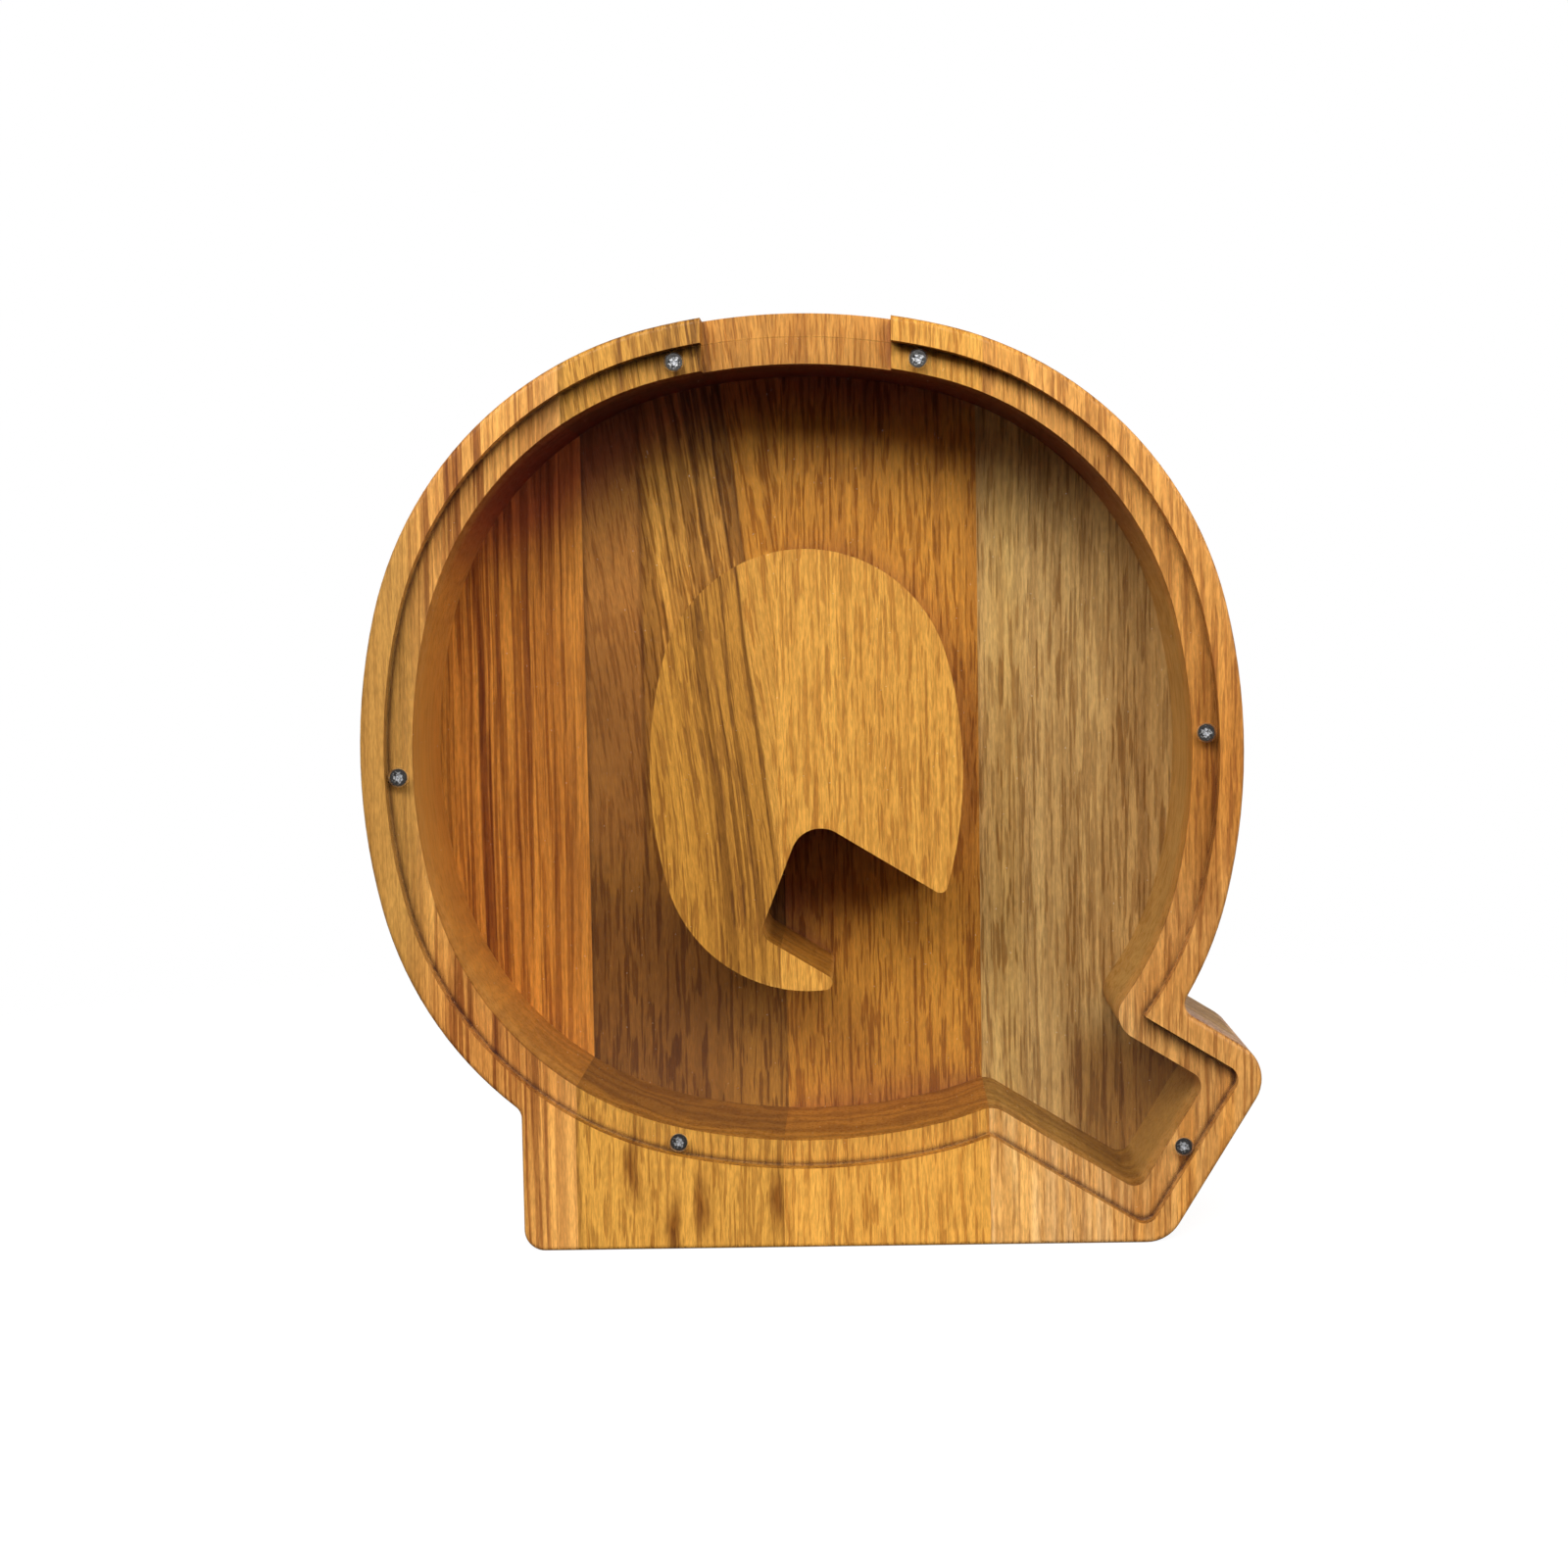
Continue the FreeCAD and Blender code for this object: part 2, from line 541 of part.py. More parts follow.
def recess_sketch(body):
    """One arm of the cross recess in the head's face."""
    sketch = body.newObject("Sketcher::SketchObject", f"{body.Name}_recess")
    sketch.AttachmentSupport = [(origin_plane(body, "XZ_Plane"), "")]
    sketch.MapMode = "FlatFace"
    long, wide = measure("sizes.recess_length / 2"), measure("sizes.recess_width / 2")
    polygon(sketch, [(-long, -wide), (long, -wide), (long, wide), (-long, wide)])
    level(sketch, (0, 2), (1, 3))
    sketch.addConstraint(Sketcher.Constraint("Symmetric", 0, START, 2, START, *ORIGIN))
    bind(sketch, "length", "sizes.recess_length", "DistanceX", 0, START, 0, END)
    bind(sketch, "width", "sizes.recess_width", "DistanceY", 1, START, 1, END)
    return sketch


def make_screw(name, x, z, turn):
    """Countersunk wood screw with a cross recess, driven through the window into the ledge."""
    body = add_body(name)
    turned = body.newObject("PartDesign::Revolution", f"{name}_turned")
    profile = screw_profile(body)
    turned.Profile = profile
    turned.ReferenceAxis = (profile, ["V_Axis"])
    doc.recompute()
    arm = feature(body, "Pocket", f"{name}_arm", recess_sketch(body), "sizes.recess_depth")
    cross = body.newObject("PartDesign::PolarPattern", f"{name}_cross")
    cross.Originals = [arm]
    cross.Axis = (profile, ["V_Axis"])
    cross.Angle = CROSS_ANGLE
    cross.Occurrences = CROSS_ARMS
    body.Tip = cross
    body.Placement = FreeCAD.Placement(FreeCAD.Vector(), FreeCAD.Rotation(FreeCAD.Vector(0, 1, 0), turn))
    body.setExpression("Placement.Base.x", f"{x} - {BOWL_SHIFT}")
    body.setExpression("Placement.Base.y", f"{WINDOW_FRONT} + {HEAD_SINK} - sizes.case_depth / 2")
    body.setExpression("Placement.Base.z", f"{z} + {DROP}")
    doc.recompute()
    return body


def check(pieces):
    """Stop if any object failed, or a piece is not one valid solid."""
    for item in doc.Objects:
        if {"Invalid", "Error"} & set(item.State):
            raise RuntimeError(f"{item.Label} failed: {item.State}")
    for piece in pieces:
        shape = piece.Shape
        if shape.isNull() or not shape.isValid() or len(shape.Solids) != 1:
            raise RuntimeError(f"{piece.Label} is not one valid solid")


case_block = make_case()
pieces = make_staves(case_block)
pieces.append(make_window())
for order, (screw, (x, z)) in enumerate(SCREWS.items()):
    pieces.append(make_screw(screw, x, z, order * TURN_BETWEEN_SCREWS))
check(pieces)

os.makedirs("parts", exist_ok=True)
for piece in pieces:
    piece.Shape.exportStep(f"parts/{piece.Label}.step")
    print(piece.Label, round(piece.Shape.Volume, 1), "mm3")
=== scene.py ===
"""Looks of a letter-shaped wooden money box with a clear, screwed-on front."""

import json
import math

import bmesh
import bpy
from mathutils import Matrix, Quaternion, Vector


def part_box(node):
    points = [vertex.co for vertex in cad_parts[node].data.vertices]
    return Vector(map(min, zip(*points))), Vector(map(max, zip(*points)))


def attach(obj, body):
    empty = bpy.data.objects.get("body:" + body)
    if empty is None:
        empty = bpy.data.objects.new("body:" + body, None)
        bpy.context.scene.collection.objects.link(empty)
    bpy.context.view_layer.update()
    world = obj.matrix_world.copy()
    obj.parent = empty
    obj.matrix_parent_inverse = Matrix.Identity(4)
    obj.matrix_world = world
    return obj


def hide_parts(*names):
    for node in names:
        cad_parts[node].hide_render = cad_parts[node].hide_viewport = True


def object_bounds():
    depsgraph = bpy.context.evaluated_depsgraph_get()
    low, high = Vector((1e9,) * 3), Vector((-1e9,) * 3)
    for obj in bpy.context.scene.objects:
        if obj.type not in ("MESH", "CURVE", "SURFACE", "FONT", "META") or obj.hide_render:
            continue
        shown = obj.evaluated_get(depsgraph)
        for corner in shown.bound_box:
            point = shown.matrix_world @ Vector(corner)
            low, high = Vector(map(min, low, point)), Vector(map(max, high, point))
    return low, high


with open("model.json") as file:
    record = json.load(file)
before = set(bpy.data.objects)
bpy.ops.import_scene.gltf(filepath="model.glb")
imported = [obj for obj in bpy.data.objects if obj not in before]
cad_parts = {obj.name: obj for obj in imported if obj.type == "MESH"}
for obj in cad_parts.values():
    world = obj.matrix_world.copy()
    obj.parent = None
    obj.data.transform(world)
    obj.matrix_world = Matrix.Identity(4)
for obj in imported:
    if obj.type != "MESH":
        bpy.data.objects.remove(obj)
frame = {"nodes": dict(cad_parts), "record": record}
cad_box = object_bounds()

MM = 0.001

# The photograph's camera: where it stands, what it looks at, its roll, and its lens.
CAMERA_PLACE = Vector((12.8, -527.5, 139.4)) * MM
CAMERA_AIM = Vector((12.8, -22.5, 97.2)) * MM
CAMERA_ROLL = 0.79
CAMERA_SENSOR = 36
CAMERA_LENS = 54.8
CAMERA_SHIFT = (-0.056, 0.009)

# The case in millimetres: the bowl's centre, where the tail begins, the three glue lines, and the depth
# of the ledge that carries the sheet. Behind the ledge come the slot's back wall, the pocket's edge and
# the depth over which its wood turns into milled wood.
BOWL_X, BOWL_Z = -1.9, 106.1
TAIL_X = 40
LEFT_JOINT, MIDDLE_JOINT, RIGHT_JOINT = (
    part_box(stave)[1].x / MM for stave in ("stave_left", "stave_mid_left", "stave_mid_right")
)
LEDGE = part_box("front_window")[1].y / MM
SLOT_WALL = LEDGE + 4.5
POCKET_EDGE = (LEDGE + 0.5, LEDGE + 2)
MILLED_DEPTH = (LEDGE + 5, LEDGE + 12)


class Field:
    """A number that varies over a surface; arithmetic on it makes math nodes."""

    def __init__(self, graph, socket):
        self.graph = graph
        self.socket = socket

    def __add__(self, other):
        return self.graph.math("ADD", self, other)

    def __sub__(self, other):
        return self.graph.math("SUBTRACT", self, other)

    def __rsub__(self, other):
        return self.graph.math("SUBTRACT", other, self)

    def __mul__(self, other):
        return self.graph.math("MULTIPLY", self, other)

    def __abs__(self):
        return self.graph.math("ABSOLUTE", self)

    def span(self, low, high, start=0.0, end=1.0):
        """Eased from start to end while the field goes from low to high."""
        inputs = {"Value": self, "From Min": low, "From Max": high, "To Min": start, "To Max": end}
        node = self.graph.add("MapRange", inputs, interpolation_type="SMOOTHSTEP")
        return Field(self.graph, node.outputs["Result"])

    def near(self, centre, reach):
        """1 at a centre, easing to 0 at a reach either side."""
        return abs(self - centre).span(reach, 0.0)


class Graph:
    """Short calls for building the nodes of a shader."""

    def __init__(self, tree):
        self.tree = tree
        tree.nodes.clear()

    def feed(self, socket, value):
        """Link a socket to another one or a field, or set its own value."""
        value = getattr(value, "socket", value)
        if isinstance(value, bpy.types.NodeSocket):
            self.tree.links.new(value, socket)
        elif socket.type == "RGBA" and len(value) == 3:
            socket.default_value = (*value, 1.0)
        else:
            socket.default_value = value

    def add(self, kind, inputs=(), **settings):
        """Node of a kind, with its inputs by name or number, and its settings."""
        node = self.tree.nodes.new(f"ShaderNode{kind}")
        for setting, value in settings.items():
            setattr(node, setting, value)
        for name, value in dict(inputs).items():
            self.feed(node.inputs[name], value)
        return node

    def math(self, operation, *values):
        node = self.add("Math", dict(enumerate(values)), operation=operation)
        return Field(self, node.outputs[0])

    def join(self, x, y, z):
        return self.add("CombineXYZ", {0: x, 1: y, 2: z}).outputs[0]

    def split(self, vector):
        return [Field(self, socket) for socket in self.add("SeparateXYZ", {0: vector}).outputs]

    def place(self):
        """Coordinates on the object in millimetres."""
        local = self.add("TexCoord").outputs["Object"]
        scaled = self.add("VectorMath", {0: local, "Scale": 1 / MM}, operation="SCALE")
        return self.split(scaled.outputs[0])

    def normal(self):
        """How far the surface faces along x, y and z."""
        return self.split(self.add("TexCoord").outputs["Normal"])

    def crease(self, reach, wide=0.9, tight=0.55, alone=True):
        """1 in inner corners within a reach, easing from wide to tight ones; alone: of this piece only."""
        node = self.add("AmbientOcclusion", {"Distance": reach}, samples=6, only_local=alone)
        return Field(self, node.outputs["AO"]).span(wide, tight)

    def noise(self, place, size, detail=2.0, roughness=0.5):
        """Noise with features of a size in millimetres along each axis."""
        vector = self.join(*(part * (1 / length) for part, length in zip(place, size)))
        inputs = {"Vector": vector, "Scale": 1.0, "Detail": detail, "Roughness": roughness}
        return Field(self, self.add("TexNoise", inputs).outputs["Fac"])

    def blend(self, share, base, top, mode="MIX"):
        """Colour on top of another one."""
        node = self.add("Mix", data_type="RGBA", blend_type=mode)
        sockets = {socket.identifier: socket for socket in node.inputs}
        for name, value in (("Factor_Float", share), ("A_Color", base), ("B_Color", top)):
            self.feed(sockets[name], value)
        return next(socket for socket in node.outputs if socket.identifier == "Result_Color")

    def shade(self, colour, level):
        """Colour made darker or lighter by a field."""
        return self.blend(1.0, colour, self.join(level, level, level), "MULTIPLY")

    def bump(self, height, distance):
        inputs = {"Height": height, "Strength": 1.0, "Distance": distance}
        return self.add("Bump", inputs).outputs["Normal"]

    def mix(self, share, first, second):
        return self.add("MixShader", {0: share, 1: first, 2: second}).outputs[0]

    def out(self, shader, kind="OutputMaterial"):
        self.add(kind, {"Surface": shader})


def new_material(name):
    material = bpy.data.materials.new(name)
    material.use_nodes = True
    return material, Graph(material.node_tree)


# Sizes of the wood's figure in millimetres: across the grain, into the board, and along the grain.
DRIFT_SIZE = (45, 60, 110)
BAND_SIZE = (9, 30, 260)
FIBRE_SIZE = (1.4, 12, 60)
FLECK_SIZE = (0.34, 0.34, 2.5)
PORE_WIDTH, PORE_DEPTH = 0.62, 1.0

# Growth rings in end grain: the size of their waves, how far these reach, and radians to a millimetre.
RING_SIZE = (14, 12, 60)
RING_REACH = 22
RING_TURN = 0.8

# Where slanting grain starts to slant, and over which height it eases in.
SLANT_START, SLANT_EASE = 88, 25.0

# A surface is the case's outside if it faces away from the bowl's centre at this distance or more. One
# that faces backward counts as being at the second distance.
SKIN_EDGE = (45, 60)
BACK_WEIGHT = 200

# What the wood is multiplied by in places that the staves share; some of these are painted shade, a
# painted shadow and a painted highlight.
MILLED_PORES = (0.62, 0.52, 0.45)
SLOT_BACK = (0.82, 0.75, 0.82)
END_GRAIN = (0.70, 0.62, 0.40)
GROWTH_RINGS = (0.62, 0.54, 0.42)
OVERHANG_SHADE = (0.30, 0.13, 0.24)
POCKET_TOP_SHADOW = (0.70, 0.42, 0.72)
REBATE_CORNER_SHADE = (0.10, 0.03, 0.03)
WORN_EDGE_AND_HIGHLIGHT = (1.3, 1.35, 1.5)
ISLAND_NOTCH_SHADE = (0.30, 0.11, 0.5)


class Wood:
    """Oiled wood with upright grain, built up in layers: linear colours, sizes in millimetres."""

    def __init__(self, name, start, sway, slant=0.0, pore_length=9):
        self.material, self.graph = new_material(name)
        graph = self.graph
        self.x, self.y, self.z = graph.place()
        self.normal_x, self.normal_y, self.normal_z = graph.normal()
        self.flat = abs(self.normal_y)
        self.start = start
        drift = graph.noise((self.x + start, self.y, self.z), DRIFT_SIZE)
        self.across = self.x + (drift - 0.5) * sway
        if slant:
            rise = graph.math("SMOOTH_MAX", self.z - SLANT_START, 0.0, SLANT_EASE)
            self.across = self.across + rise * slant
        porous = self.figure(PORE_WIDTH, PORE_DEPTH, pore_length, detail=1, roughness=0.4)
        self.pores = porous.span(0.47, 0.40)
        inside = 1.0 - self.skin()
        self.pocket = self.y.span(*POCKET_EDGE) * inside
        self.milled = self.y.span(*MILLED_DEPTH) * inside
        self.unmilled = 1.0 - self.milled
        self.colour = (0.0, 0.0, 0.0)

    def skin(self):
        """1 on the outside and back of the case, 0 on its front and in its pocket."""
        outward = self.normal_x * (self.x - BOWL_X) + self.normal_z * (self.z - BOWL_Z)
        backward = self.normal_y * BACK_WEIGHT
        tail = self.graph.math("MAXIMUM", self.x - TAIL_X, 0.0)
        return (outward + backward + tail).span(*SKIN_EDGE)

    def figure(self, width, depth, length, detail=2.0, roughness=0.5):
        """Noise drawn out along the grain."""
        place = (self.across + self.start, self.y + self.start, self.z)
        return self.graph.noise(place, (width, depth, length), detail, roughness)

    def tint(self, share, colour):
        """Lay a colour over the wood."""
        self.colour = self.graph.blend(share, self.colour, colour)

    def stain(self, share, colour):
        """Multiply the wood by a colour."""
        self.colour = self.graph.blend(share, self.colour, colour, "MULTIPLY")

    def grain(self, dark, light, shares=(0.15, 0.27, 0.47), over=1.0):
        """Lay on wood between two tones, darkened by shares of broad bands, long fibres and pores."""
        band_share, fibre_share, pore_share = shares
        bands = self.figure(*BAND_SIZE).span(0.3, 0.7)
        fibres = self.figure(*FIBRE_SIZE, roughness=0.6).span(0.37, 0.63)
        shade = (1.0 - bands) * band_share + (1.0 - fibres) * fibre_share + self.pores * pore_share
        self.tint(over, self.graph.blend(1.0 - shade, dark, light))

    def mill(self, deep, walls, pocket_pores):
        """The pocket, with a deeper tone, faint pores and smooth walls, and the coin slot's back wall."""
        self.stain(self.milled, deep)
        self.stain(self.milled * self.pores * pocket_pores, MILLED_PORES)
        slot_back = self.y.near(SLOT_WALL, 1) * self.z.span(175, 180) * self.flat
        self.stain(slot_back, SLOT_BACK)
        steep = self.flat.span(0.5, 0.2)
        self.tint(self.pocket * steep * 0.5, walls)

    def cut_ends(self):
        """End grain, darker and with wavy growth rings."""
        end_grain = abs(self.normal_z).span(0.5, 0.95)
        wavy = self.y + self.figure(*RING_SIZE) * RING_REACH
        rings = self.graph.math("SINE", wavy * RING_TURN)
        self.stain(end_grain, END_GRAIN)
        self.stain(end_grain * rings.span(-1.0, 1.0, 0.0, 0.8), GROWTH_RINGS)

    def paint_corner_shade(self):
        """Painted shade under the pocket's overhangs, a painted shadow along its top, and painted shade in
        the rebate's corner.
        """
        # Painted shade on faces in the pocket that face down.
        overhang_shade = self.normal_z.span(-0.2, -0.8)
        self.stain(self.pocket * overhang_shade, OVERHANG_SHADE)
        # Painted shadow on the pocket's floor along its top, where the top wall shades it.
        side, rise = self.x - BOWL_X, self.z - BOWL_Z
        radius = self.graph.math("SQRT", side * side + rise * rise)
        top = radius.span(68, 82) * rise.span(35, 55) * self.x.span(45, 15)
        self.stain(self.milled * top, POCKET_TOP_SHADOW)
        # Painted shade in the rebate's corner where the ledge meets its wall, weaker on the lower right.
        corner = self.graph.crease(2 * MM) * self.y.span(LEDGE + 0.6, LEDGE + 0.2)
        less_shaded_side = self.x.span(20, 60) * self.z.span(45, 65)
        self.stain(corner * (1.0 - less_shaded_side * 0.6), REBATE_CORNER_SHADE)

    def paint_notch_shade(self, side):
        """Painted shade deep in the island's notch, whichever staves form its corners, faded by side."""
        corner = self.graph.crease(25 * MM, wide=0.62, tight=0.35, alone=False) * self.pocket
        self.stain(corner * side * self.z.near(72, 16), ISLAND_NOTCH_SHADE)

    def finish(self, deep, walls, pocket_pores=0.45):
        """What all staves share: flecks, the milled pocket, end grain, painted shade in corners, worn
        edges with a painted highlight, oil.
        """
        graph = self.graph
        fleck = self.figure(*FLECK_SIZE, roughness=0.6)
        self.colour = graph.shade(self.colour, fleck.span(0.3, 0.7, 0.82, 1.16))
        self.mill(deep, walls, pocket_pores)
        self.cut_ends()
        self.paint_corner_shade()
        # Lighter, smoother rounded edges: wear, and a painted highlight.
        worn_and_highlight = self.flat.near(0.75, 0.2) * fleck.span(0.35, 0.6)
        self.stain(worn_and_highlight * self.unmilled * 0.25, WORN_EDGE_AND_HIGHLIGHT)
        oiled = fleck.span(0.3, 0.7, 0.40, 0.50)
        shader = graph.add("BsdfPrincipled", {
            "Base Color": self.colour,
            "Roughness": oiled + self.pores * 0.12 + self.milled * 0.15 - worn_and_highlight * 0.08,
            "Normal": graph.bump(fleck * 0.4 - self.pores, 0.06 * MM),
            "Specular IOR Level": 0.25,
        })
        graph.out(shader.outputs[0])
        return self.material


def left_wood():
    """Reddish orange with long dark streaks, golden at the rim and bright along the glue line."""
    wood = Wood("wood_left", start=100, sway=3.0, pore_length=32)
    x = wood.x
    wood.grain(dark=(0.35, 0.105, 0.014), light=(1.0, 0.49, 0.114), shares=(0.25, 0.36, 0.3))
    streaks = wood.figure(1.8, 30, 130, detail=3, roughness=0.6).span(0.48, 0.58)
    streaky = x.span(-87, -78) * x.span(LEFT_JOINT, -72, 0.45, 0.9)
    faded_on_walls = wood.flat.span(0.3, 0.8, 0.4, 1.0)
    wood.stain(streaks * streaky * faded_on_walls, (0.38, 0.24, 0.16))
    rim = x.span(-79, -88)
    wood.tint(rim * 0.7, (0.40, 0.20, 0.038))
    shoulder = wood.z.near(46, 32) * (1.0 - wood.pocket)
    wood.stain(shoulder, (0.80, 0.70, 0.62))
    glue_line = x.span(LEFT_JOINT - 6, LEFT_JOINT - 2)
    wood.tint(glue_line * 0.35, (0.92, 0.46, 0.12))
    return wood.finish(deep=(0.88, 0.74, 0.44), walls=(0.86, 0.42, 0.085), pocket_pores=0.3)


# The golden wood of the third stave, which the second one turns into.
GOLDEN_DARK = (0.47, 0.17, 0.017)
GOLDEN_LIGHT = (0.90, 0.44, 0.076)
GOLDEN_DEEP = (0.78, 0.70, 0.48)

# Smudges on the front of the second stave's base: x, z and width in millimetres.
SMUDGES = ((-39.2, 18, 2.4), (-24.8, 10, 2.6), (-9.2, 11, 2.8), (-31, 5, 2.6))


def add_slanting_streaks(wood, olive, upper):
    """Dark streaks that crowd together towards a dark line, and pale ones high on the floor."""
    crowded = wood.across.span(MIDDLE_JOINT - 18, MIDDLE_JOINT - 8) * olive
    wood.stain(crowded * upper * 0.6, (0.72, 0.68, 0.72))
    dark = wood.figure(1.3, 25, 80, detail=3, roughness=0.65).span(0.47, 0.57)
    wood.stain(dark * upper * crowded.span(0.0, 1.0, 0.35, 0.9), (0.46, 0.40, 0.32))
    dark_line = wood.across.near(MIDDLE_JOINT - 0.3, 0.9)
    wood.stain(dark_line * 0.6, (0.50, 0.42, 0.34))
    pale = wood.figure(1.6, 25, 60).span(0.47, 0.57) * wood.x.span(-38, -34) * wood.z.span(115, 140)
    wood.stain(pale * wood.milled * olive, (1.8, 2.0, 2.4))


def add_floor_tones(wood, upper):
    """Smooth wood beside the left glue line with a painted sheen high up, dark lines either side of the
    glue line, and a dark lower floor that is left out under the island as painted light.
    """
    x, z = wood.x, wood.z
    smooth = x.span(-38, -40) * wood.milled
    wood.tint(smooth * z.span(72, 88) * 0.7, (0.56, 0.24, 0.055))
    # Painted sheen: a lighter patch high on the smooth wood.
    wood.stain(smooth * z.near(146, 34), (1.4, 1.42, 1.5))
    inner_line, glue_line = x.near(-38.8, 0.9), x.near(LEFT_JOINT, 1.6)
    wood.stain(inner_line * upper * 0.7, (0.40, 0.30, 0.25))
    wood.stain(glue_line * 0.7, (0.42, 0.36, 0.32))
    # Painted light: the lower floor's darkening is left out just below the island, against its shadow.
    painted_light_below_island = x.span(-28, -8) * z.span(60, 52) * wood.flat
    lower_floor = z.span(92, 62) * wood.milled * (1.0 - painted_light_below_island)
    wood.stain(lower_floor, (0.56, 0.49, 0.52))


def add_smudges(wood):
    """Short dark streaks with wavy sides, low on the front."""
    wavy = wood.x + (wood.figure(8, 40, 16) - 0.5) * 5
    front = wood.y.span(5, -5)
    for x, z, width in SMUDGES:
        smudge = wavy.near(x, width) * wood.z.near(z, 12)
        wood.stain(smudge * front, (0.36, 0.25, 0.16))


def mid_left_wood():
    """Golden olive with slanting dark streaks up to a dark line, and golden wood beyond the line."""
    wood = Wood("wood_mid_left", start=300, sway=5.0, slant=0.13)
    x, z = wood.x, wood.z
    beyond = wood.across.span(MIDDLE_JOINT - 0.4, MIDDLE_JOINT + 0.4)
    olive = 1.0 - beyond
    upper = z.span(35, 80)
    wood.grain(dark=(0.34, 0.125, 0.011), light=(0.80, 0.39, 0.064))
    wood.grain(GOLDEN_DARK, GOLDEN_LIGHT, over=beyond)
    island = x.span(-45, -40) * z.span(55, 62) * z.span(158, 150) * wood.unmilled
    wood.stain(island * olive, (0.88, 0.82, 0.68))
    add_slanting_streaks(wood, olive, upper)
    add_floor_tones(wood, upper)
    wood.paint_notch_shade(side=x.span(-10, -4))
    add_smudges(wood)
    deep = wood.graph.blend(beyond, (0.58, 0.53, 0.44), GOLDEN_DEEP)
    return wood.finish(deep, walls=(0.70, 0.32, 0.06))


def mid_right_wood():
    """Golden orange with even fine pores, and painted shade round the island's foot."""
    wood = Wood("wood_mid_right", start=500, sway=3.0)
    wood.grain(GOLDEN_DARK, GOLDEN_LIGHT)
    streaks = wood.figure(2.2, 30, 120, detail=3, roughness=0.6)
    wood.stain(streaks.span(0.5, 0.64, 0.0, 0.5), (0.58, 0.46, 0.34))
    # Painted shade in the inner corners round the island's foot.
    foot_shade = wood.graph.crease(20 * MM, wide=0.7, tight=0.4) * wood.pocket
    wood.stain(foot_shade, (0.45, 0.30, 0.7))
    wood.paint_notch_shade(side=wood.x.span(24, 14))
    return wood.finish(GOLDEN_DEEP, walls=(0.72, 0.33, 0.065))


def right_wood():
    """Olive tan with soft bands, a pale strip along the glue line, and a warm rim and back."""
    wood = Wood("wood_right", start=700, sway=4.0, pore_length=12)
    x, z = wood.x, wood.z
    wood.grain(dark=(0.40, 0.17, 0.04), light=(0.98, 0.57, 0.215), shares=(0.3, 0.35, 0.35))
    streaks = wood.figure(2.4, 30, 140, detail=3, roughness=0.6)
    wood.stain(streaks.span(0.5, 0.66, 0.0, 0.4), (0.58, 0.46, 0.36))
    tail_floor = x.span(52, 64) * z.span(46, 34) * wood.milled
    wood.stain(tail_floor, (0.66, 0.54, 0.36))
    pale_strip = x.near(RIGHT_JOINT + 5.5, 7.0)
    wood.stain(pale_strip, (1.15, 1.18, 1.09))
    base_streaks = wood.figure(3.5, 40, 70).span(0.42, 0.58) * z.span(45, 30)
    wood.stain(base_streaks * wood.unmilled, (1.0, 0.91, 0.72))
    tail_rim = x.span(56, 76) * z.span(75, 55) * wood.unmilled
    wood.stain(tail_rim, (0.92, 0.80, 0.58))
    # Painted shade on the floor near the right wall.
    far_floor_shade = x.span(50, 72) * wood.milled
    wood.stain(far_floor_shade * 0.6, (0.84, 0.80, 0.76))
    back = wood.normal_y.span(0.3, 0.8)
    warm = wood.graph.math("MAXIMUM", z.span(40, 110), back) * wood.unmilled
    wood.stain(warm, (0.94, 0.76, 0.46))
    middle_rim = z.near(95, 65) * wood.unmilled
    wood.stain(middle_rim, (0.78, 0.66, 0.46))
    return wood.finish(deep=(0.74, 0.81, 0.74), walls=(0.62, 0.34, 0.07), pocket_pores=0.2)


# Sizes of the details of the sheet and the steel, in millimetres.
DUST_SIZE = (1.1, 1.1, 1.1)
HAZE_SIZE = (30, 30, 30)
WAVE_SIZE = (40, 40, 40)
TARNISH_SIZE = (0.9, 0.9, 0.9)
MOTTLE_SIZE = (0.55, 0.55, 0.55)
SCRATCH_SIZE = (0.25, 0.05, 0.05)

# The steel's colours: dull and clean metal, painted shade at the edge of the head, and a painted highlight
# in its middle.
STEEL_DULL = (0.22, 0.21, 0.205)
STEEL_CLEAN = (0.50, 0.49, 0.48)
STEEL_RIM_SHADE = (0.045, 0.042, 0.04)
STEEL_HIGHLIGHT = (0.82, 0.83, 0.85)


def clear_sheet():
    """Polished clear sheet with duller cut edges and a little dust; light passes straight through it."""
    material, graph = new_material("clear_sheet")
    place = graph.place()
    flat = abs(graph.normal()[1])
    edge = flat.span(0.9, 0.5)
    countersink = flat.near(0.7, 0.15)
    dust = graph.noise(place, DUST_SIZE, detail=3, roughness=0.7).span(0.70, 0.76)
    haze = graph.noise(place, HAZE_SIZE, detail=3).span(0.3, 0.7, 0.015, 0.045)
    clear = graph.add("BsdfPrincipled", {
        "Base Color": graph.blend(edge, (1.0, 1.0, 1.0), (0.93, 0.95, 0.93)),
        "Roughness": haze + edge * 0.08 + countersink * 0.45 + dust * 0.3,
        "IOR": 1.49,
        "Transmission Weight": 1.0,
        "Normal": graph.bump(graph.noise(place, WAVE_SIZE), 0.02 * MM),
    })
    passed = graph.add("BsdfTransparent", {"Color": (0.95, 0.95, 0.95)}).outputs[0]
    rays = graph.add("LightPath").outputs
    surface = clear.outputs[0]
    for ray in ("Is Diffuse Ray", "Is Shadow Ray"):
        surface = graph.mix(rays[ray], surface, passed)
    graph.out(surface)
    return material


